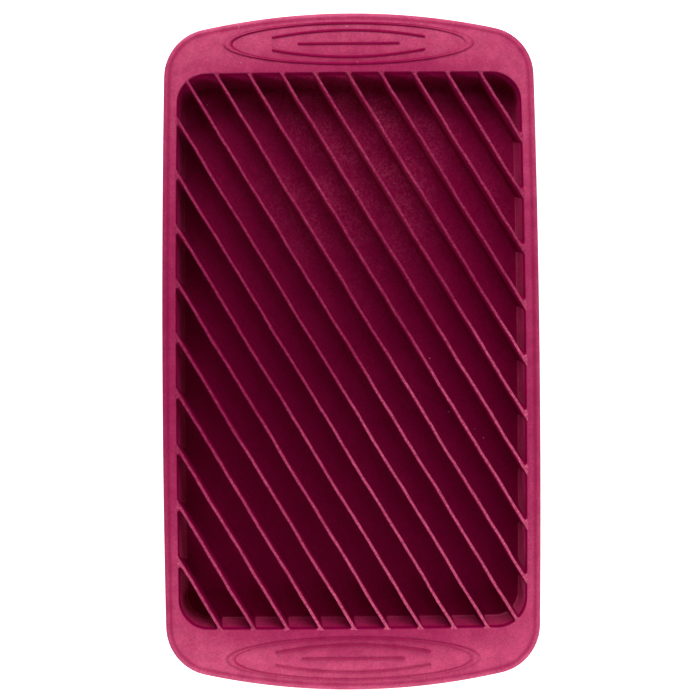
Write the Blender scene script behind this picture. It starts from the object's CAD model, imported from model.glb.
"""Looks of a moulded silicone tray for thin baguette sticks.

The CAD frame gives the heights and the bodies.  Sizes of the tray are in millimetres, in the CAD's
axes.  Meshes are written in metres, and lights, the camera and places inside materials are too.
"""
import math

import bmesh
import bpy
import numpy as np
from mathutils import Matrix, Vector


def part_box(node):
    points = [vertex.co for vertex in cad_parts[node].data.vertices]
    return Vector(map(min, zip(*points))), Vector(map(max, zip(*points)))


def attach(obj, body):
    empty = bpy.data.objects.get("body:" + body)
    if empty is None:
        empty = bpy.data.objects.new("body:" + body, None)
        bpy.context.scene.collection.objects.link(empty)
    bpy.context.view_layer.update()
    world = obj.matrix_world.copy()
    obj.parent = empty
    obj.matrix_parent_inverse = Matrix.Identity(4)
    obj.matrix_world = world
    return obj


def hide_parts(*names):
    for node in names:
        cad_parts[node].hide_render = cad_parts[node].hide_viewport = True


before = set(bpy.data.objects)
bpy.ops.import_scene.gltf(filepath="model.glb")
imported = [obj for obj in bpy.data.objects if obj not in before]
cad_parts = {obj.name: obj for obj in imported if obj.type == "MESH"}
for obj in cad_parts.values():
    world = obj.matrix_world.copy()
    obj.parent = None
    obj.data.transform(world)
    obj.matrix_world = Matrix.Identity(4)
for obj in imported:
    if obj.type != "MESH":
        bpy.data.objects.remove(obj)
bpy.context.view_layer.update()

MM = 0.001


def node_box(node):
    """Lowest and highest corners of a CAD node, in millimetres."""
    low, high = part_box(node)
    return np.array(low) / MM, np.array(high) / MM


# ---------------------------------------------------------------- sizes
# Heights that the frame gives
RIM_TOP = node_box("left_rail")[1][2]
RIM_BOTTOM = node_box("left_rail")[0][2]
FLOOR_TOP = node_box("floor_panel")[1][2]
DEPTH = RIM_TOP - FLOOR_TOP
SEAM_DEPTH = RIM_TOP - RIM_BOTTOM   # where the rim's inner face meets the basin's wall

# Outer edge: two shallow side arcs, two end arcs and four round corners
TRAY_LENGTH = 357.0
TRAY_WIDTH = 199.2
SIDE_BOW = 1.9
END_BOW = 13.3
CORNER_RADIUS = 26.0

# Basin
OPENING_HALF = np.array([92.3, 146.8])
OPENING_BOW = np.array([1.3, 0.4])
OPENING_RADIUS = 15.5
SIDE_DRAFT = 2.6
END_DRAFT = 4.0
BASE_FILLET = 1.5
EDGE_ROUND = 0.5
WALL_THICKNESS = 2.2
SIDE_SPLIT = OPENING_HALF[1] - OPENING_RADIUS

# Rim section, measured in from the tray's outer edge
ROLL_WIDTH = 2.5
ROLL_DROP = 1.5
CREASE_INSET = 3.0
CREASE_WIDTH = 0.8
CREASE_DEPTH = 0.1
FLAT_INSET = 5.4           # where the rim's top becomes flat
LIP_ROUND = 0.9            # round at the bottom of the outer edge
LIP_MIDDLE = 0.55          # height of a row on its inner face, as a share of the way down
FLAT_SHARES = (0.25, 0.6, 1.0)    # rows across its flat top, as shares of the way outwards

# Dividers
DIVIDER_COUNT = 19
DIVIDER_PITCH = 15.0
DIVIDER_ANGLE = math.radians(31.05)
CREST_HALF = 0.75
CREST_DROP = 0.2
DIVIDER_DRAFT = 0.4
WEB_RADIUS = 0.9           # fillet between a divider and a wall
BURIED = 0.3               # how far hidden faces sink into the piece they stand on
CAP_DROP = 0.1             # how far a divider's buried ends sit below the rim
RUN = np.array([math.sin(DIVIDER_ANGLE), -math.cos(DIVIDER_ANGLE)])
ACROSS = np.array([math.cos(DIVIDER_ANGLE), math.sin(DIVIDER_ANGLE)])

# Waviness of a divider, which starts and grows some way in from the walls
WAVE_START = 4.0
WAVE_RISE = 14.0
SWAY_LENGTHS = np.array([83.0, 41.0, 23.0, 11.0, 5.3])
SWAYS = np.array([0.13, 0.09, 0.06, 0.035, 0.025])
SWAY_RANGE = (0.6, 1.4)    # each divider's sways, as shares of those
SWELL_LENGTHS = np.array([17.0, 4.7])
SWELLS = np.array([0.035, 0.04])
FIRST_SEED = 100

# Grip relief
GRIP_INSET = 15.3
RELIEF_HEIGHT = 0.6
RING_OUTER = np.array([66.5, 11.6])
RING_INNER = np.array([61.5, 10.1])
RIDGE_HALF_WIDTH = 0.75
MIDDLE_RIDGE_HALF = 27.2
BOWED_RIDGE_HALF = 40.0
BOWED_RIDGE_OFFSET = 3.4
BOWED_RIDGE_CREST = 7.1
# a relief's cross-section from its foot to its flat top: (distance in from the edge, height)
RELIEF_PROFILE = (
    (0.0, -BURIED),
    (0.0, 0.0),
    (0.08, 0.26),
    (0.2, 0.44),
    (0.36, 0.55),
    (0.55, RELIEF_HEIGHT),
)

# Mesh shading and density
SHARP_ANGLE = math.radians(38.0)
SIDE_COLUMNS = 66
CORNER_COLUMNS = 24
END_COLUMNS = 40
WEB_COLUMNS = 7
CAP_COLUMNS = 5
COLUMN_STEP = 1.6          # between points along a divider
FEWEST_COLUMNS = 6
HALVINGS = 50              # steps that narrow down where a divider meets a wall
EDGE_RINGS = 5
WALL_RINGS = 5
BASE_RINGS = 7
BASE_FIRST_TURN = 0.12     # angle of the first ring on the base fillet, in radians
OUTER_WALL_RINGS = 5
CREASE_RINGS = 5
ROLL_RINGS = 10
LIP_RINGS = 6
RING_COLUMNS = 160
RIDGE_COLUMNS = 41
TIP_COLUMNS = 7

scene = bpy.context.scene


# ---------------------------------------------------------------- mesh helpers
def unit(angles):
    """Unit vectors at these angles, one per row."""
    return np.stack([np.cos(angles), np.sin(angles)], axis=-1)


def lift(flat, height):
    """Plan points with a height added."""
    heights = np.full(len(flat), height) if np.isscalar(height) else height
    return np.column_stack([flat, heights])


def grid_faces(rows, columns):
    """Quads between neighbouring closed rows of points."""
    faces = []
    for r in range(rows - 1):
        for c in range(columns):
            d = (c + 1) % columns
            faces.append((r * columns + c, r * columns + d, (r + 1) * columns + d, (r + 1) * columns + c))
    return faces


def make_piece(name, points, faces):
    """A smooth-shaded closed mesh of silicone that rides on the tray's one body."""
    mesh = bpy.data.meshes.new(name)
    mesh.from_pydata((points * MM).tolist(), [], faces)
    shaper = bmesh.new()
    shaper.from_mesh(mesh)
    bmesh.ops.recalc_face_normals(shaper, faces=shaper.faces)
    shaper.to_mesh(mesh)
    shaper.free()
    mesh.shade_smooth()
    mesh.set_sharp_from_angle(angle=SHARP_ANGLE)
    mesh.materials.append(moulded)
    piece = bpy.data.objects.new(name, mesh)
    scene.collection.objects.link(piece)
    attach(piece, "root")
    return piece


def store(piece, name, values):
    """Store one value per point of a piece, for its material to read."""
    layer = piece.data.attributes.new(name, "FLOAT", "POINT")
    layer.data.foreach_set("value", values)


# ---------------------------------------------------------------- profiles
def inward(depth, draft):
    """How far a basin surface has come in at a depth: rounded top edge, straight draft, round base."""
    lean = draft / DEPTH
    slope = math.atan(lean)
    tangent_depth = DEPTH - BASE_FILLET * (1 - math.sin(slope))
    if depth < EDGE_ROUND:
        rise = EDGE_ROUND - depth
        return lean * depth - EDGE_ROUND + math.sqrt(EDGE_ROUND**2 - rise**2)
    if depth <= tangent_depth:
        return lean * depth
    centre = lean * tangent_depth + BASE_FILLET * math.cos(slope)
    rise = min(depth - (DEPTH - BASE_FILLET), BASE_FILLET)
    return centre - math.sqrt(BASE_FILLET**2 - rise**2)


def level_depths():
    """Depths of the rings that make up a basin surface, closest together where it curves."""
    top = [EDGE_ROUND * (1 - math.cos(a)) for a in np.linspace(0, math.pi / 2, EDGE_RINGS)]
    straight = list(np.linspace(EDGE_ROUND, DEPTH - BASE_FILLET, WALL_RINGS + 2)[1:-1])
    turns = np.linspace(BASE_FIRST_TURN, math.pi / 2, BASE_RINGS)
    return top + straight + [DEPTH - BASE_FILLET * (1 - math.sin(a)) for a in turns]


LEVELS = level_depths()


def opening_shape(depth, shrink=0.0):
    """Half sizes and corner radius of the basin at a depth, moved inwards by shrink."""
    side = inward(depth, SIDE_DRAFT)
    end = inward(depth, END_DRAFT)
    half = OPENING_HALF - np.array([side, end]) - shrink
    return half, OPENING_RADIUS - side - shrink


# ---------------------------------------------------------------- outlines
def ring_from_quarter(quarter):
    """A whole ring from its quarter in +X +Y, which runs from the side's middle to the end's middle."""
    flip = quarter[::-1]
    rear = np.vstack([quarter, flip[1:] * [-1, 1]])
    front = rear[::-1] * [1, -1]
    return np.vstack([rear, front[1:-1]])


def opening_ring(half, radius):
    """The basin's rounded rectangle as a ring of points, its sides and ends bulging a little."""
    centre = half - radius
    side = np.column_stack([np.full(SIDE_COLUMNS // 2, half[0]),
                            np.linspace(0, centre[1], SIDE_COLUMNS // 2, endpoint=False)])
    corner = centre + radius * unit(np.linspace(0, math.pi / 2, CORNER_COLUMNS, endpoint=False))
    end = np.column_stack([np.linspace(centre[0], 0, END_COLUMNS // 2 + 1),
                           np.full(END_COLUMNS // 2 + 1, half[1])])
    quarter = np.vstack([side, corner, end])
    quarter = quarter - OPENING_BOW * (quarter / OPENING_HALF)[:, ::-1] ** 2
    return ring_from_quarter(quarter)


def tray_arcs():
    """Centre and radius of the outer edge's side arc, end arc and corner arc, in its +X +Y quarter."""
    half_width = TRAY_WIDTH / 2
    crest = TRAY_LENGTH / 2
    corner_x = half_width - SIDE_BOW
    corner_y = crest - END_BOW
    side_radius = (corner_y**2 + SIDE_BOW**2) / (2 * SIDE_BOW)
    end_radius = (corner_x**2 + END_BOW**2) / (2 * END_BOW)
    side_centre = np.array([half_width - side_radius, 0.0])
    end_centre = np.array([0.0, crest - end_radius])
    # the corner's centre is where two circles cross, each inside its arc by the corner radius
    r1 = side_radius - CORNER_RADIUS
    r2 = end_radius - CORNER_RADIUS
    gap = end_centre - side_centre
    span = np.linalg.norm(gap)
    along = (r1**2 - r2**2 + span**2) / (2 * span)
    aside = math.sqrt(r1**2 - along**2)
    forward = gap / span
    corner_centre = side_centre + along * forward + aside * np.array([-forward[1], forward[0]])
    return (side_centre, side_radius), (end_centre, end_radius), corner_centre


def heading(point, centre):
    """Direction of a point as seen from a centre, as an angle."""
    return math.atan2(point[1] - centre[1], point[0] - centre[0])


def tray_ring():
    """The tray's outer edge and its outward normals, column for column with opening_ring."""
    (side_centre, side_radius), (end_centre, end_radius), corner_centre = tray_arcs()
    side_end = heading(corner_centre, side_centre)
    end_start = heading(corner_centre, end_centre)
    split = math.asin(SIDE_SPLIT / side_radius)
    side_angles = np.linspace(0, split, SIDE_COLUMNS // 2, endpoint=False)
    # the corner columns share the last bit of side arc and the corner arc, by length
    bit = side_radius * (side_end - split)
    turn = CORNER_RADIUS * (end_start - side_end)
    reach = np.linspace(0, bit + turn, CORNER_COLUMNS, endpoint=False)
    end_angles = np.linspace(end_start, math.pi / 2, END_COLUMNS // 2 + 1)
    normals = [unit(side_angles)]
    points = [side_centre + side_radius * normals[0]]
    for length in reach:
        if length < bit:
            normal = unit(split + length / side_radius)
            point = side_centre + side_radius * normal
        else:
            normal = unit(side_end + (length - bit) / CORNER_RADIUS)
            point = corner_centre + CORNER_RADIUS * normal
        normals.append(normal[None])
        points.append(point[None])
    normals.append(unit(end_angles))
    points.append(end_centre + end_radius * normals[-1])
    return ring_from_quarter(np.vstack(points)), ring_from_quarter(np.vstack(normals))


EDGE, EDGE_NORMAL = tray_ring()
COLUMNS = len(EDGE)


# ---------------------------------------------------------------- materials
DEEP_RASPBERRY = (0.283, 0.0005, 0.057)
PALE_RASPBERRY = (0.79, 0.058, 0.21)
PALE_DUST = (0.75, 0.5, 0.6)
SHEEN_TINT = (1.0, 0.75, 0.8)
STEEL_SCRATCH = (0.5, 0.5, 0.52)
STEEL = (0.62, 0.62, 0.63)

# Noises from fine to coarse: cycles per metre, levels of detail, and strength of the finer levels
GRAIN = (2200, 3, 0.7)
SCRATCHES = (1800, 2, 0.5)
SPECKLE = (1000, 2, 0.6)
GRIT = (900, 2, 0.6)
MOTTLE = (240, 4, 0.6)
CLOUD = (110, 3, 0.6)
FILM_CLOUD = (45, 3, 0.6)
PATCHES = (26, 2, 0.5)

# Bands that nearly all values of a noise lie in
MOST_NOISE = (0.3, 0.7)
SPECKLE_BAND = (0.25, 0.75)
FILM_BAND = (0.35, 0.65)
PATCH_BAND = (0.3, 0.65)
SCRATCH_BAND = (0.2, 0.8)

# How far the noises push a value either side of its mean, as a share of it
MOTTLE_SWING = 0.06
CLOUD_SWING = 0.16
RIM_GRIT = 0.14
CREST_GRIT = 0.5
FILM_GRIT = 0.9
SPECKLE_SWING = (0.07, 0.19)    # on the rim, and inside the basin
PATCH_SHARE = (0.75, 1.2)
FILM_SHARE = (0.5, 1.3)

# Silicone's finish
SPECULAR = (0.03, 0.9)     # without bloom, and with full bloom
SHEEN = (0.0, 0.1)         # the same
SHEEN_ROUGHNESS = 0.45
ROUGHNESS = (0.55, 0.7)    # across the grain
GRAIN_BUMP = 0.3
GRAIN_HEIGHT = 0.0001

# The wire's finish
STEEL_ROUGHNESS = (0.22, 0.42)
SCRATCH_BUMP = 0.15
SCRATCH_HEIGHT = 0.00005

# Specks of dust: cells per metre, a dot's radii inside and outside, and how much it covers
DUST_CELLS = 210
DUST_RADII = (0.05, 0.11)
DUST_COVER = 0.5
DUST_THRESHOLD = 0.9       # only cells whose random value is above this have a speck

# Bloom runs from 0, deep colour, to 1, palest; these are its levels on the rim
BLOOM_MIDDLE = 0.3         # middle of the sides, and of the rim next to the basin
BLOOM_CORNER = 0.54        # corners
BLOOM_RIGHT = 0.07         # extra along the right side
BLOOM_GRIP_REAR = 0.16     # extra towards the outer edge of a handle
BLOOM_GRIP_FRONT = 0.46
BLOOM_LIMIT_REAR = 0.58
BLOOM_LIMIT_FRONT = 0.7
EDGE_CLEAN = 0.25          # bloom rubbed off the rolled edge, and how far in from the edge
EDGE_CLEAN_WIDTH = 1.5
CREASE_CLEAN = 0.5         # bloom missing from the crease, and the crease's width there
CREASE_CLEAN_WIDTH = 1.0
UNDERSIDE_BLOOM = 0.4

# Grip relief lines, as a share of the bloom around them
LINE_BLOOM_REAR = 0.1
LINE_BLOOM_FRONT = 0.5
RING_END_BLOOM = 0.7       # where the oval ring is rubbed
RING_RUB_POWER = 3         # how closely that keeps to the ring's two ends

# Walls, dividers and channels
WALL_BLOOM_TOP = 0.5
WALL_BLOOM_BASE = 1.3
WALL_CLEAN_RINGS = 3       # rings at the foot of the wall that have no bloom
WALL_BLOOM_REAR_LOSS = 0.7
WALL_FADE_START = 70.0     # where that loss begins, from the tray's middle
BLOOM_CREST_REAR = 0.07
BLOOM_CREST_FRONT = 0.48
BLOOM_CREST_END = 0.14     # extra where a crest meets a wall
CREST_LEFT_SHARE = 0.65    # of the bloom at the tray's middle
CREST_DUST = 0.07
BLOOM_FILM_REAR = 0.14     # in the channels
BLOOM_FILM_FRONT = 0.025
FILM_SIDE_SHARE = 0.35     # near either side, of the film at the tray's middle

# Where those levels change over, in metres: an oval's semi-axes, and ranges of X, Y and Z
WEAR_OVAL = (0.096, 0.15)
RIM_REACH = (1.0, 1.35)    # in shares of that oval
CREST_REACH = (0.8, 1.0)
RIGHT_SIDE = (0.075, 0.095)
REAR_GRIP = (0.148, 0.168)
FRONT_GRIP = (-0.176, -0.148)
FRONT_TO_REAR = (-0.1, 0.1)
FILM_START = (0.0, 0.1)
FILM_LEFT = (-0.07, -0.01)
FILM_RIGHT = (0.02, 0.07)
CREST_LEFT = (-0.08, 0.0)
CREST_CHANGE = (-0.045, 0.005)
CREST_SLANT = 0.5          # slope of the line across the tray where the crests change
CREST_HEIGHT = (0.0173, 0.0177)


class NodeBench:
    """Adds shader nodes to a material and wires them up."""

    def __init__(self, material):
        material.use_nodes = True
        self.nodes = material.node_tree.nodes
        self.links = material.node_tree.links
        self.shader = self.nodes["Principled BSDF"]
        self.place = self.nodes.new("ShaderNodeTexCoord").outputs["Object"]
        split = self.nodes.new("ShaderNodeSeparateXYZ")
        self.links.new(self.place, split.inputs["Vector"])
        self.x, self.y, self.z = split.outputs

    def join(self, source, target):
        if isinstance(source, (int, float)):
            target.default_value = source
        elif isinstance(source, tuple):
            target.default_value = (*source, 1)
        else:
            self.links.new(source, target)

    def noise(self, scale, detail, roughness):
        texture = self.nodes.new("ShaderNodeTexNoise")
        texture.inputs["Scale"].default_value = scale
        texture.inputs["Detail"].default_value = detail
        texture.inputs["Roughness"].default_value = roughness
        self.links.new(self.place, texture.inputs["Vector"])
        return texture.outputs["Fac"]

    def spread(self, source, from_low, from_high, to_low, to_high):
        """Remap a value smoothly from one range to another, and hold it beyond the ends."""
        node = self.nodes.new("ShaderNodeMapRange")
        node.interpolation_type = "SMOOTHSTEP"
        node.inputs["From Min"].default_value = from_low
        node.inputs["From Max"].default_value = from_high
        node.inputs["To Min"].default_value = to_low
        node.inputs["To Max"].default_value = to_high
        self.links.new(source, node.inputs["Value"])
        return node.outputs["Result"]

    def vary(self, noise, swing):
        """Turn a noise into a factor that wanders either side of 1."""
        return self.spread(noise, *MOST_NOISE, 1 - swing, 1 + swing)

    def mix(self, amount, first, second):
        node = self.nodes.new("ShaderNodeMix")
        node.data_type = "RGBA"
        self.join(amount, node.inputs["Factor"])
        self.join(first, node.inputs[6])
        self.join(second, node.inputs[7])
        return node.outputs[2]

    def math(self, operation, first, *others):
        """Fold one operation over several values."""
        for other in others:
            node = self.nodes.new("ShaderNodeMath")
            node.operation = operation
            self.join(first, node.inputs[0])
            self.join(other, node.inputs[1])
            first = node.outputs[0]
        return first

    def specks(self):
        """Small separate dots, in a few cells of an uneven grid."""
        cells = self.nodes.new("ShaderNodeTexVoronoi")
        cells.inputs["Scale"].default_value = DUST_CELLS
        self.links.new(self.place, cells.inputs["Vector"])
        dot = self.spread(cells.outputs["Distance"], *DUST_RADII, DUST_COVER, 0)
        chosen = self.math("GREATER_THAN", cells.outputs["Color"], DUST_THRESHOLD)
        return self.math("MULTIPLY", dot, chosen)

    def attribute(self, name):
        """A value stored on the mesh, or 0 where the mesh has none."""
        node = self.nodes.new("ShaderNodeAttribute")
        node.attribute_name = name
        return node.outputs["Fac"]

    def reach(self):
        """How far out the point is, as a share of the wear oval."""
        stretch = self.nodes.new("ShaderNodeVectorMath")
        stretch.operation = "DIVIDE"
        self.links.new(self.place, stretch.inputs[0])
        stretch.inputs[1].default_value = (*WEAR_OVAL, 1.0)
        length = self.nodes.new("ShaderNodeVectorMath")
        length.operation = "LENGTH"
        self.links.new(stretch.outputs["Vector"], length.inputs[0])
        return length.outputs["Value"]

    def scale(self, colour, factor):
        """A colour made lighter or darker."""
        node = self.nodes.new("ShaderNodeVectorMath")
        node.operation = "SCALE"
        self.join(colour, node.inputs["Vector"])
        self.join(factor, node.inputs["Scale"])
        return node.outputs["Vector"]

    def bump(self, source, strength, distance):
        node = self.nodes.new("ShaderNodeBump")
        node.inputs["Strength"].default_value = strength
        node.inputs["Distance"].default_value = distance
        self.links.new(source, node.inputs["Height"])
        self.links.new(node.outputs["Normal"], self.shader.inputs["Normal"])


def rim_wear(bench, grit):
    """Bloom on the rim: palest at its corners and along the outer edges of its handles."""
    wear = bench.math(
        "ADD",
        bench.spread(bench.reach(), *RIM_REACH, BLOOM_MIDDLE, BLOOM_CORNER),
        bench.spread(bench.x, *RIGHT_SIDE, 0, BLOOM_RIGHT),
        bench.spread(bench.y, *REAR_GRIP, 0, BLOOM_GRIP_REAR),
        bench.spread(bench.y, *FRONT_GRIP, BLOOM_GRIP_FRONT, 0),
    )
    limit = bench.spread(bench.y, *FRONT_TO_REAR, BLOOM_LIMIT_FRONT, BLOOM_LIMIT_REAR)
    wear = bench.math("MINIMUM", wear, limit)
    cloud = bench.vary(bench.noise(*CLOUD), CLOUD_SWING)
    return bench.math("MULTIPLY", bench.attribute("bloom"), wear, cloud, bench.vary(grit, RIM_GRIT))


def crest_mask(bench):
    """1 on the divider crests and 0 everywhere else."""
    near_top = bench.spread(bench.z, *CREST_HEIGHT, 0, 1)
    return bench.math("MULTIPLY", near_top, bench.attribute("inside"))


def crest_wear(bench, on_crest, grit):
    """Bloom on the crests: palest towards the front and the right, and where they meet the walls."""
    slant = bench.math("SUBTRACT", bench.y, bench.math("MULTIPLY", bench.x, CREST_SLANT))
    wear = bench.math(
        "ADD",
        bench.spread(slant, *CREST_CHANGE, BLOOM_CREST_FRONT, BLOOM_CREST_REAR),
        bench.spread(bench.reach(), *CREST_REACH, 0, BLOOM_CREST_END),
    )
    left = bench.spread(bench.x, *CREST_LEFT, CREST_LEFT_SHARE, 1)
    patches = bench.spread(bench.noise(*PATCHES), *PATCH_BAND, *PATCH_SHARE)
    return bench.math("MULTIPLY", wear, left, patches, bench.vary(grit, CREST_GRIT), on_crest)


def channel_film(bench, grit):
    """A thin speckled film in the channels, mostly in the middle of the tray's rear half."""
    film = bench.spread(bench.y, *FILM_START, BLOOM_FILM_FRONT, BLOOM_FILM_REAR)
    left = bench.spread(bench.x, *FILM_LEFT, FILM_SIDE_SHARE, 1)
    right = bench.spread(bench.x, *FILM_RIGHT, 1, FILM_SIDE_SHARE)
    cloud = bench.spread(bench.noise(*FILM_CLOUD), *FILM_BAND, *FILM_SHARE)
    fine = bench.vary(grit, FILM_GRIT)
    return bench.math("MULTIPLY", bench.attribute("inside"), film, left, right, cloud, fine)


def silicone(name):
    """Matte moulded silicone: fine grain, faint mottling, and a pale bloom where it is handled."""
    material = bpy.data.materials.new(name)
    bench = NodeBench(material)
    shader = bench.shader
    grain = bench.noise(*GRAIN)
    speckle = bench.noise(*SPECKLE)
    grit = bench.noise(*GRIT)
    on_crest = crest_mask(bench)
    bloom = bench.math("MAXIMUM", rim_wear(bench, grit), crest_wear(bench, on_crest, grit),
                       channel_film(bench, grit))
    body = bench.mix(bloom, DEEP_RASPBERRY, PALE_RASPBERRY)

    # cloudy tone, more speckled inside the basin
    contrast = bench.spread(bench.attribute("inside"), 0, 1, *SPECKLE_SWING)
    fine = bench.math("MULTIPLY", bench.spread(speckle, *SPECKLE_BAND, -1, 1), contrast)
    tone = bench.math("ADD", bench.vary(bench.noise(*MOTTLE), MOTTLE_SWING), fine)
    shade = bench.scale(body, tone)

    # a few separate specks of dust, and a little of it along the crests
    powder = bench.math("MULTIPLY", on_crest, bench.spread(speckle, *MOST_NOISE, 0, CREST_DUST))
    dust = bench.math("MAXIMUM", bench.specks(), powder)
    bench.join(bench.mix(dust, shade, PALE_DUST), shader.inputs["Base Color"])
    bench.join(bench.spread(grain, *MOST_NOISE, *ROUGHNESS), shader.inputs["Roughness"])
    bench.join(bench.spread(bloom, 0, 1, *SPECULAR), shader.inputs["Specular IOR Level"])
    bench.join(bench.spread(bloom, 0, 1, *SHEEN), shader.inputs["Sheen Weight"])
    bench.join(SHEEN_ROUGHNESS, shader.inputs["Sheen Roughness"])
    bench.join(SHEEN_TINT, shader.inputs["Sheen Tint"])
    bench.bump(grain, GRAIN_BUMP, GRAIN_HEIGHT)
    return material


def drawn_wire(name):
    """Drawn stainless wire with fine scratches."""
    material = bpy.data.materials.new(name)
    bench = NodeBench(material)
    scratches = bench.noise(*SCRATCHES)
    bench.join(bench.mix(scratches, STEEL_SCRATCH, STEEL), bench.shader.inputs["Base Color"])
    bench.join(1, bench.shader.inputs["Metallic"])
    bench.join(bench.spread(scratches, *SCRATCH_BAND, *STEEL_ROUGHNESS), bench.shader.inputs["Roughness"])
    bench.bump(scratches, SCRATCH_BUMP, SCRATCH_HEIGHT)
    return material


moulded = silicone("moulded_silicone")
steel = drawn_wire("drawn_steel")


# ---------------------------------------------------------------- basin shell
def cap_faces(start):
    """Faces that close a whole ring, paired left to right so that they stay long and flat."""
    quarter = SIDE_COLUMNS // 2 + CORNER_COLUMNS
    middle = quarter + END_COLUMNS // 2
    faces = []
    for sign in (1, -1):
        for c in range(quarter - 1):
            right = (sign * c) % COLUMNS
            right_next = (sign * (c + 1)) % COLUMNS
            left = (sign * (2 * middle - c)) % COLUMNS
            left_next = (sign * (2 * middle - c - 1)) % COLUMNS
            faces.append((right, right_next, left_next, left))
        tip = [(sign * c) % COLUMNS for c in range(quarter - 1, 2 * middle - quarter + 2)]
        faces.append(tuple(tip))
    return [tuple(start + i for i in face) for face in faces]


def inner_rings():
    """The basin's inside, from the rim's underside down to the edge of the flat floor."""
    depths = [SEAM_DEPTH] + [depth for depth in LEVELS if depth > SEAM_DEPTH]
    return [lift(opening_ring(*opening_shape(depth)), RIM_TOP - depth) for depth in depths]


def outer_rings():
    """The basin's outside, from the rim's underside down to the edge of the flat underside."""
    fillet = BASE_FILLET + FLOOR_TOP
    rings = []
    for height in np.linspace(RIM_BOTTOM, fillet, OUTER_WALL_RINGS):
        half, radius = opening_shape(RIM_TOP - height)
        rings.append(lift(opening_ring(half + WALL_THICKNESS, radius + WALL_THICKNESS), height))
    half, radius = opening_shape(RIM_TOP - fillet)
    for angle in np.linspace(0, math.pi / 2, BASE_RINGS)[1:]:
        pull = WALL_THICKNESS - fillet * (1 - math.cos(angle))
        ring = opening_ring(half + pull, radius + pull)
        rings.append(lift(ring, fillet * (1 - math.sin(angle))))
    return rings


def wall_bloom(rings, inner_count):
    """The walls turn paler towards their base, least towards the rear; all else has no bloom."""
    by_ring = np.zeros(len(rings))
    worn_count = inner_count - WALL_CLEAN_RINGS
    by_ring[-inner_count:-WALL_CLEAN_RINGS] = np.linspace(WALL_BLOOM_TOP, WALL_BLOOM_BASE, worn_count)
    rear = np.clip((rings[-1][:, 1] - WALL_FADE_START) / (SIDE_SPLIT - WALL_FADE_START), 0, 1)
    return np.outer(by_ring, 1 - WALL_BLOOM_REAR_LOSS * rear).ravel()


def build_basin():
    """Floor and walls as one shell, from the underside of the rim down."""
    outer = outer_rings()
    inner = inner_rings()
    rings = outer[::-1] + inner
    faces = grid_faces(len(rings), COLUMNS)
    faces += cap_faces(0)
    faces += cap_faces((len(rings) - 1) * COLUMNS)
    shell = make_piece("basin_shell", np.vstack(rings), faces)
    store(shell, "inside", np.repeat(np.arange(len(rings)) >= len(outer), COLUMNS))
    store(shell, "bloom", wall_bloom(rings, len(inner)))
    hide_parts("floor_panel", "left_wall", "right_wall", "rear_wall", "front_wall")


# ---------------------------------------------------------------- rim
def rim_height(inset):
    """Height of the rim's top face at a distance in from the tray's edge."""
    reach = max(ROLL_WIDTH - inset, 0.0) / ROLL_WIDTH
    roll = ROLL_DROP * (1 - math.sqrt(1 - reach**2))
    crease = CREASE_DEPTH * math.exp(-((inset - CREASE_INSET) / CREASE_WIDTH) ** 2)
    return RIM_TOP - roll - crease


def rim_bloom(inset):
    """Bloom on the rim's top at a distance in from the tray's edge, least along the crease."""
    edge = max(1 - inset / EDGE_CLEAN_WIDTH, 0.0)
    crease = math.exp(-((inset - CREASE_INSET) / CREASE_CLEAN_WIDTH) ** 2)
    return 1 - EDGE_CLEAN * edge - CREASE_CLEAN * crease


def lip_rows():
    """Rows from the basin's wall up over its rounded top edge."""
    rows = []
    for depth in (SEAM_DEPTH, SEAM_DEPTH * LIP_MIDDLE, *LEVELS[EDGE_RINGS - 1::-1]):
        ring = opening_ring(*opening_shape(depth))
        rows.append((lift(ring, RIM_TOP - depth), max(0.0, 1 - depth / EDGE_ROUND)))
    return rows


def top_rows(inner):
    """Rows over the rim's flat top, its crease and its rolled edge; inner is where the flat begins."""
    flat_end = EDGE - EDGE_NORMAL * FLAT_INSET
    rows = [(lift(inner + (flat_end - inner) * share, RIM_TOP), 1.0) for share in FLAT_SHARES]
    crease = np.linspace(FLAT_INSET, ROLL_WIDTH, CREASE_RINGS + 2)[1:-1]
    roll = ROLL_WIDTH * (1 - np.sin(np.linspace(0, math.pi / 2, ROLL_RINGS)))
    for inset in (*crease, *roll):
        rows.append((lift(EDGE - EDGE_NORMAL * inset, rim_height(inset)), rim_bloom(inset)))
    return rows


def under_rows():
    """Rows round the bottom of the outer edge, and across the underside to the basin's wall."""
    rows = []
    for angle in np.linspace(0, math.pi / 2, LIP_RINGS):
        inset = LIP_ROUND * (1 - math.cos(angle))
        height = RIM_BOTTOM + LIP_ROUND * (1 - math.sin(angle))
        rows.append((lift(EDGE - EDGE_NORMAL * inset, height), 1.0))
    half, radius = opening_shape(SEAM_DEPTH)
    root = opening_ring(half + WALL_THICKNESS, radius + WALL_THICKNESS)
    under = rows[-1][0][:, :2]
    for share in (0.5, 1.0):
        rows.append((lift(under + (root - under) * share, RIM_BOTTOM), UNDERSIDE_BLOOM))
    return rows


def rim_rows():
    """The rim's closed section, row by row around it: a ring of points, and that ring's bloom."""
    rows = lip_rows()
    flat_start = rows[-1][0][:, :2]
    return rows + top_rows(flat_start) + under_rows()


RIM_RINGS, RIM_BLOOMS = zip(*rim_rows())


def build_rim_piece(name, first, last, node):
    """The stretch of rim between two columns, closed at both ends."""
    picked = np.arange(first, last + 1) % COLUMNS
    rows = [ring[picked] for ring in RIM_RINGS]
    total = len(rows)
    count = len(picked)
    faces = []
    for r in range(total):
        s = (r + 1) % total
        for c in range(count - 1):
            faces.append((r * count + c, r * count + c + 1, s * count + c + 1, s * count + c))
    faces.append(tuple(r * count for r in range(total)))
    faces.append(tuple(r * count + count - 1 for r in range(total)))
    piece = make_piece(name, np.vstack(rows), faces)
    store(piece, "bloom", np.repeat(RIM_BLOOMS, count))
    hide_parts(node)


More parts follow.
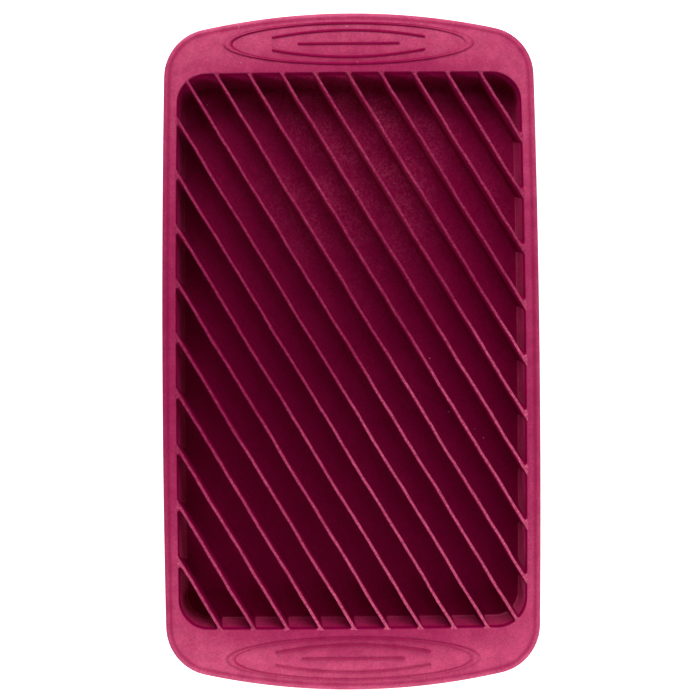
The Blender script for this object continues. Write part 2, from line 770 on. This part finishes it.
# ---------------------------------------------------------------- dividers
def corner_offset(point, half, radius):
    """Where a point is from the centre of the basin corner nearest to it."""
    bow = OPENING_BOW * (point / OPENING_HALF)[::-1] ** 2
    return np.abs(point) + bow - (half - radius)


def shape_distance(point, half, radius):
    """Distance from a point to the basin's edge at some depth, negative inside it."""
    q = corner_offset(point, half, radius)
    return float(np.linalg.norm(np.maximum(q, 0)) + min(max(q[0], q[1]), 0.0) - radius)


def shape_normal(point, half, radius):
    """Outward normal of the basin's edge near a point of it."""
    q = corner_offset(point, half, radius)
    if q[0] > 0 and q[1] > 0:
        normal = q / np.linalg.norm(q)
    elif q[0] > q[1]:
        normal = np.array([1.0, 0.0])
    else:
        normal = np.array([0.0, 1.0])
    return normal * np.where(point < 0, -1.0, 1.0)


def chord_limits(base, half):
    """How far the line through base along RUN stays inside a plain rectangle, each way."""
    low, high = -math.inf, math.inf
    for axis in (0, 1):
        a, b = sorted(((-half[axis] - base[axis]) / RUN[axis], (half[axis] - base[axis]) / RUN[axis]))
        low, high = max(low, a), min(high, b)
    return low, high


def chord_ends(spread, half, radius):
    """Where the line across = spread meets a rounded rectangle, rear end first."""
    base = ACROSS * spread
    low, high = chord_limits(base, half)
    ends = []
    for limit in (low, high):
        inside, outside = (low + high) / 2, limit
        for _ in range(HALVINGS):
            t = (inside + outside) / 2
            if shape_distance(base + RUN * t, half, radius) < 0:
                inside = t
            else:
                outside = t
        ends.append(base + RUN * inside)
    return ends


def web_arc(centre, start, end):
    """Points of the small fillet between a wall and a divider, in plan."""
    a = math.atan2(start[1], start[0])
    turn = math.atan2(end[1], end[0]) - a
    turn = (turn + math.pi) % (2 * math.pi) - math.pi
    return centre + WEB_RADIUS * unit(a + turn * np.linspace(0, 1, WEB_COLUMNS))


def side_curve(spread, side, depth, straight_columns):
    """One side of a divider at a depth, from the rear wall's tangent point to the front wall's."""
    half, radius = opening_shape(depth, WEB_RADIUS)
    thickness = CREST_HALF + inward(depth, DIVIDER_DRAFT)
    rear, front = chord_ends(spread + side * (thickness + WEB_RADIUS), half, radius)
    into_divider = -side * ACROSS
    rear_web = web_arc(rear, shape_normal(rear, half, radius), into_divider)
    front_web = web_arc(front, into_divider, shape_normal(front, half, radius))
    shares = np.linspace(0, 1, straight_columns + 2)[1:-1, None]
    straight = rear_web[-1] + (front_web[0] - rear_web[-1]) * shares
    return np.vstack([rear_web, straight, front_web])


def buried_cap(start, end):
    """Points between two tangent points, sunk into the wall behind them."""
    shares = np.linspace(0, 1, CAP_COLUMNS)[:, None]
    points = start + (end - start) * shares
    return np.array([p + BURIED * shape_normal(p, OPENING_HALF, OPENING_RADIUS) for p in points])


def divider_wave(number):
    """A divider's slight sideways waviness and thickness change along its run, as two functions."""
    seeded = np.random.default_rng(FIRST_SEED + number)
    sways = SWAYS * seeded.uniform(*SWAY_RANGE, len(SWAYS))
    phases = seeded.uniform(0, 2 * math.pi, len(SWAYS))
    swell_phases = seeded.uniform(0, 2 * math.pi, len(SWELLS))

    def sway(run):
        return (sways * np.sin(2 * math.pi * run[:, None] / SWAY_LENGTHS + phases)).sum(axis=1)

    def swell(run):
        return (SWELLS * np.sin(2 * math.pi * run[:, None] / SWELL_LENGTHS + swell_phases)).sum(axis=1)

    return sway, swell


def divider_ring(spread, depth, straight_columns, sway, swell):
    """A divider's outline at a depth: left side, front cap, right side and rear cap."""
    at = min(depth, DEPTH)
    left = side_curve(spread, -1, at, straight_columns)
    right = side_curve(spread, 1, at, straight_columns)
    flat = np.vstack([left, buried_cap(left[-1], right[-1]),
                      right[::-1], buried_cap(right[0], left[0])])
    # sway, swell and the crest's drop fade to nothing at the walls and at the floor
    run = flat @ RUN
    away = np.minimum(run - run.min(), run.max() - run)
    fade = np.clip((away - WAVE_START) / WAVE_RISE, 0, 1)
    fade = fade * fade * (3 - 2 * fade)
    height_share = 1 - min(at / (DEPTH - BASE_FILLET), 1)
    sides = np.sign(flat @ ACROSS - spread)
    shift = fade * (sway(run) * height_share + swell(run) * sides * height_share)
    ring = lift(flat + shift[:, None] * ACROSS, RIM_TOP - depth - CREST_DROP * fade * height_share)
    for cap_start in (len(left), len(ring) - CAP_COLUMNS):
        ring[cap_start:cap_start + CAP_COLUMNS, 2] -= CAP_DROP
    return ring


def divider_faces(rings, side_columns):
    """Faces around a divider, and the faces that close it at its crest and its foot."""
    columns = 2 * (side_columns + CAP_COLUMNS)
    faces = grid_faces(rings, columns)
    rear_cap = columns - CAP_COLUMNS
    for start in (0, (rings - 1) * columns):
        for c in range(side_columns - 1):
            mirror = rear_cap - 1 - c
            faces.append((start + c, start + c + 1, start + mirror - 1, start + mirror))
        front_tip = range(side_columns - 1, side_columns + CAP_COLUMNS + 1)
        faces.append(tuple(start + c for c in front_tip))
        rear_tip = list(range(rear_cap - 1, columns)) + [0]
        faces.append(tuple(start + c for c in rear_tip))
    return faces


def build_divider(number):
    """One diagonal divider: rounded crest, drafted faces, flared foot, and webs into both walls."""
    spread = (number - (DIVIDER_COUNT - 1) / 2) * DIVIDER_PITCH
    rear, front = chord_ends(spread, OPENING_HALF, OPENING_RADIUS)
    straight_columns = max(FEWEST_COLUMNS, int(np.linalg.norm(front - rear) / COLUMN_STEP))
    wave = divider_wave(number)
    depths = LEVELS + [DEPTH + BURIED]
    rings = [divider_ring(spread, depth, straight_columns, *wave) for depth in depths]
    faces = divider_faces(len(rings), 2 * WEB_COLUMNS + straight_columns)
    label = f"{number + 1:02d}"
    points = np.vstack(rings)
    piece = make_piece(f"stick_divider_{label}", points, faces)
    store(piece, "inside", np.ones(len(points)))
    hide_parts(f"divider_{label}")


# ---------------------------------------------------------------- grip relief
def ellipse(angles, axes, grow, centre):
    """Points of an ellipse at these angles, moved outwards by grow."""
    outward = unit(angles)
    normals = outward / axes
    normals = normals / np.linalg.norm(normals, axis=1)[:, None]
    return outward * axes + normals * grow + centre


def ring_bloom(angles, width, line_bloom):
    """Bloom on each row of an oval ring: it is rubbed at both ends outside, and inside at the right."""
    rubbed_outside = np.abs(np.cos(angles)) ** RING_RUB_POWER * RING_END_BLOOM
    rubbed_inside = np.maximum(np.cos(angles), 0) ** RING_RUB_POWER * RING_END_BLOOM
    narrow = RING_OUTER[1] - RING_INNER[1]
    wide = np.clip((width - narrow) / narrow, 0, 1)
    count = len(RELIEF_PROFILE)
    rows = [rubbed_outside] * count + [wide] + [rubbed_inside] * count
    return np.maximum(np.concatenate(rows), line_bloom)


def build_grip_ring(name, node, centre, line_bloom):
    """The oval ring: two ellipses with rounded shoulders, and a row of points between them."""
    angles = np.linspace(0, 2 * math.pi, RING_COLUMNS, endpoint=False)
    outer = ellipse(angles, RING_OUTER, 0.0, centre)
    inner = ellipse(angles, RING_INNER, 0.0, centre)
    rows = [lift(ellipse(angles, RING_OUTER, -d, centre), RIM_TOP + h) for d, h in RELIEF_PROFILE]
    rows.append(lift((outer + inner) / 2, RIM_TOP + RELIEF_HEIGHT))
    rows += [lift(ellipse(angles, RING_INNER, d, centre), RIM_TOP + h) for d, h in RELIEF_PROFILE[::-1]]
    faces = grid_faces(len(rows), RING_COLUMNS)
    last = (len(rows) - 1) * RING_COLUMNS
    for c in range(RING_COLUMNS):
        d = (c + 1) % RING_COLUMNS
        faces.append((c, d, last + d, last + c))
    piece = make_piece(name, np.vstack(rows), faces)
    store(piece, "bloom", ring_bloom(angles, np.linalg.norm(outer - inner, axis=1), line_bloom))
    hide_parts(node)


def ridge_outline(spine, wide):
    """A closed line around a ridge's spine at a distance from it, with round ends."""
    along = np.gradient(spine, axis=0)
    along /= np.linalg.norm(along, axis=1)[:, None]
    aside = np.column_stack([-along[:, 1], along[:, 0]])
    tips = np.linspace(-math.pi / 2, math.pi / 2, TIP_COLUMNS + 2)[1:-1, None]
    end = spine[-1] + wide * (np.cos(tips) * along[-1] + np.sin(tips) * aside[-1])
    start = spine[0] - wide * (np.cos(tips) * along[0] + np.sin(tips) * aside[0])
    return np.vstack([spine - wide * aside, end, (spine + wide * aside)[::-1], start])


def ridge_faces(rows, columns):
    """Faces around a ridge, and the faces that close its foot and its top."""
    faces = grid_faces(rows, columns)
    faces.append(tuple(range(columns)))
    top = (rows - 1) * columns
    last_mirror = 2 * RIDGE_COLUMNS + TIP_COLUMNS - 1
    for c in range(RIDGE_COLUMNS - 1):
        mirror = last_mirror - c
        faces.append((top + c, top + c + 1, top + mirror - 1, top + mirror))
    faces.append(tuple(top + c for c in range(RIDGE_COLUMNS - 1, RIDGE_COLUMNS + TIP_COLUMNS + 1)))
    faces.append(tuple(top + c for c in [*range(last_mirror, columns), 0]))
    return faces


def build_ridge(name, node, centre, half_length, offset, crest, line_bloom):
    """A grip ridge with round ends, straight or bowed away from the grip's middle line."""
    share = np.linspace(-1, 1, RIDGE_COLUMNS)
    spine = np.column_stack([share * half_length, offset + (crest - offset) * (1 - share**2)])
    rows = []
    for inset, height in RELIEF_PROFILE:
        outline = ridge_outline(spine, RIDGE_HALF_WIDTH - inset)
        rows.append(lift(outline + centre, RIM_TOP + height))
    points = np.vstack(rows)
    piece = make_piece(name, points, ridge_faces(len(rows), len(rows[0])))
    store(piece, "bloom", np.full(len(points), line_bloom))
    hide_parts(node)


def build_grip(end_name, end_sign, line_bloom):
    """The oval ring and three ridges on one handle."""
    centre = np.array([0.0, end_sign * (OPENING_HALF[1] + GRIP_INSET)])
    build_grip_ring(f"grip_oval_{end_name}", f"{end_name}_grip_ring", centre, line_bloom)
    build_ridge(f"grip_line_{end_name}_middle", f"{end_name}_grip_ridge_middle", centre,
                MIDDLE_RIDGE_HALF - RIDGE_HALF_WIDTH, 0.0, 0.0, line_bloom)
    for ridge, ridge_sign in (("inner", -1), ("outer", 1)):
        way = end_sign * ridge_sign
        build_ridge(f"grip_line_{end_name}_{ridge}", f"{end_name}_grip_ridge_{ridge}", centre,
                    BOWED_RIDGE_HALF, way * BOWED_RIDGE_OFFSET, way * BOWED_RIDGE_CREST, line_bloom)


# ---------------------------------------------------------------- build everything
build_basin()

# columns run from the middle of the right side round the rear, the left and the front
half_side = SIDE_COLUMNS // 2
end_span = 2 * CORNER_COLUMNS + END_COLUMNS
left_start = half_side + end_span
front_start = left_start + SIDE_COLUMNS
build_rim_piece("rail_right", -half_side, half_side, "right_rail")
build_rim_piece("grip_rear", half_side, left_start, "rear_handle")
build_rim_piece("rail_left", left_start, front_start, "left_rail")
build_rim_piece("grip_front", front_start, front_start + end_span, "front_handle")

for number in range(DIVIDER_COUNT):
    build_divider(number)

build_grip("rear", 1, LINE_BLOOM_REAR)
build_grip("front", -1, LINE_BLOOM_FRONT)

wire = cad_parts["rim_wire"]
wire.data.materials.clear()
wire.data.materials.append(steel)


# ---------------------------------------------------------------- floor, light and camera
FLOOR_GAP = 0.0002         # how far the studio floor lies below the tray
FLOOR_REACH = 6.0
FLOOR_GREY = (0.86, 0.86, 0.86, 1)
FLOOR_ROUGHNESS = 0.9
WHITE = (1, 1, 1, 1)

# Room light, which grows from one height in the sky to another
ROOM_LIGHT = 0.02
OVERHEAD_LIGHT = 0.07
SKY_CHANGE = (0.7, 0.9)

# What the softboxes point at, and their widths and heights
TRAY_MIDDLE = (0, 0, 0)
REAR_HANDLE = (0, 0.15, 0.02)
FRONT_HANDLE = (0, -0.15, 0.02)
FRONT_LEFT_CORNER = (-0.09, -0.16, 0.02)
FRONT_RIGHT_CORNER = (0.09, -0.16, 0.02)
RIGHT_RAIL = (0.09, 0, 0.02)
LARGE = (0.4, 0.4)
WIDE = (0.3, 0.12)
SMALL = (0.12, 0.12)
TALL = (0.12, 0.5)

SENSOR_WIDTH = 36
LENS = 74.76
CAMERA_ASIDE = -0.0005
CAMERA_FORWARD = -0.0246
CAMERA_HEIGHT = 0.765      # above the rim
CAMERA_PITCH = math.radians(1.8)
CAMERA_ROLL = math.radians(-0.446)


def floor_material():
    """Pale and bright enough to read as a clean studio sweep, and clear from below."""
    material = bpy.data.materials.new("pale_floor")
    material.use_nodes = True
    nodes, links = material.node_tree.nodes, material.node_tree.links
    shader = nodes["Principled BSDF"]
    shader.inputs["Base Color"].default_value = FLOOR_GREY
    shader.inputs["Roughness"].default_value = FLOOR_ROUGHNESS
    shader.inputs["Emission Color"].default_value = WHITE
    shader.inputs["Emission Strength"].default_value = 1.0
    seen_from = nodes.new("ShaderNodeNewGeometry")
    clear = nodes.new("ShaderNodeBsdfTransparent")
    either = nodes.new("ShaderNodeMixShader")
    links.new(seen_from.outputs["Backfacing"], either.inputs["Fac"])
    links.new(shader.outputs["BSDF"], either.inputs[1])
    links.new(clear.outputs["BSDF"], either.inputs[2])
    links.new(either.outputs["Shader"], nodes["Material Output"].inputs["Surface"])
    return material


def build_floor():
    """A plain square floor, just below the tray."""
    mesh = bpy.data.meshes.new("studio_floor")
    signs = ((-1, -1), (1, -1), (1, 1), (-1, 1))
    corners = [(FLOOR_REACH * x, FLOOR_REACH * y, -FLOOR_GAP) for x, y in signs]
    mesh.from_pydata(corners, [], [(0, 1, 2, 3)])
    mesh.materials.append(floor_material())
    floor = bpy.data.objects.new("studio_floor", mesh)
    scene.collection.objects.link(floor)


def add_softbox(name, place, target, size, power):
    """A rectangular area light that faces its target."""
    light = bpy.data.lights.new(name, "AREA")
    light.shape = "RECTANGLE"
    light.size, light.size_y = size
    light.energy = power
    lamp = bpy.data.objects.new(name, light)
    scene.collection.objects.link(lamp)
    lamp.location = place
    lamp.rotation_euler = (Vector(target) - Vector(place)).to_track_quat("-Z", "Y").to_euler()


def add_lights():
    """Two low softboxes look along the channels from the rear left; the rest skim the rim."""
    add_softbox("channel_wide", (-0.47, 0.783, 0.407), TRAY_MIDDLE, LARGE, 2.6)
    add_softbox("channel_narrow", (-0.236, 0.882, 0.407), TRAY_MIDDLE, LARGE, 2.6)
    add_softbox("rear_high", (0, 0.36, 0.36), REAR_HANDLE, WIDE, 0.35)
    add_softbox("rear_low", (0, 0.42, 0.2), REAR_HANDLE, WIDE, 0.42)
    add_softbox("front_low", (0, -0.42, 0.2), FRONT_HANDLE, WIDE, 0.53)
    add_softbox("front_left", (-0.23, -0.31, 0.28), FRONT_LEFT_CORNER, SMALL, 0.47)
    add_softbox("front_right", (0.23, -0.31, 0.12), FRONT_RIGHT_CORNER, SMALL, 0.16)
    add_softbox("right_low", (0.36, 0, 0.15), RIGHT_RAIL, TALL, 0.47)
    add_softbox("right_far", (0.927, 0, 0.375), TRAY_MIDDLE, LARGE, 1.6)


def add_camera():
    """Almost straight down, from a little in front of the tray's middle, tilted slightly rearwards."""
    data = bpy.data.cameras.new("camera")
    data.sensor_width = SENSOR_WIDTH
    data.lens = LENS
    camera = bpy.data.objects.new("camera", data)
    scene.collection.objects.link(camera)
    camera.location = (CAMERA_ASIDE, CAMERA_FORWARD, RIM_TOP * MM + CAMERA_HEIGHT)
    camera.rotation_euler = (CAMERA_PITCH, 0, 0)
    camera.rotation_euler.rotate_axis("Z", CAMERA_ROLL)
    scene.camera = camera


def studio_world():
    """Soft room light, a little stronger overhead; the camera itself sees plain white."""
    world = bpy.data.worlds.new("studio")
    world.use_nodes = True
    nodes, links = world.node_tree.nodes, world.node_tree.links
    place = nodes.new("ShaderNodeTexCoord")
    split = nodes.new("ShaderNodeSeparateXYZ")
    links.new(place.outputs["Generated"], split.inputs["Vector"])
    fade = nodes.new("ShaderNodeMapRange")
    fade.interpolation_type = "SMOOTHSTEP"
    fade.inputs["From Min"].default_value, fade.inputs["From Max"].default_value = SKY_CHANGE
    fade.inputs["To Min"].default_value = ROOM_LIGHT
    fade.inputs["To Max"].default_value = OVERHEAD_LIGHT
    links.new(split.outputs["Z"], fade.inputs["Value"])
    brighter = nodes.new("ShaderNodeMath")
    brighter.operation = "MAXIMUM"
    links.new(fade.outputs["Result"], brighter.inputs[0])
    links.new(nodes.new("ShaderNodeLightPath").outputs["Is Camera Ray"], brighter.inputs[1])
    links.new(brighter.outputs["Value"], nodes["Background"].inputs["Strength"])
    nodes["Background"].inputs["Color"].default_value = WHITE
    scene.world = world


build_floor()
add_lights()
studio_world()
scene.view_settings.view_transform = "Standard"
add_camera()
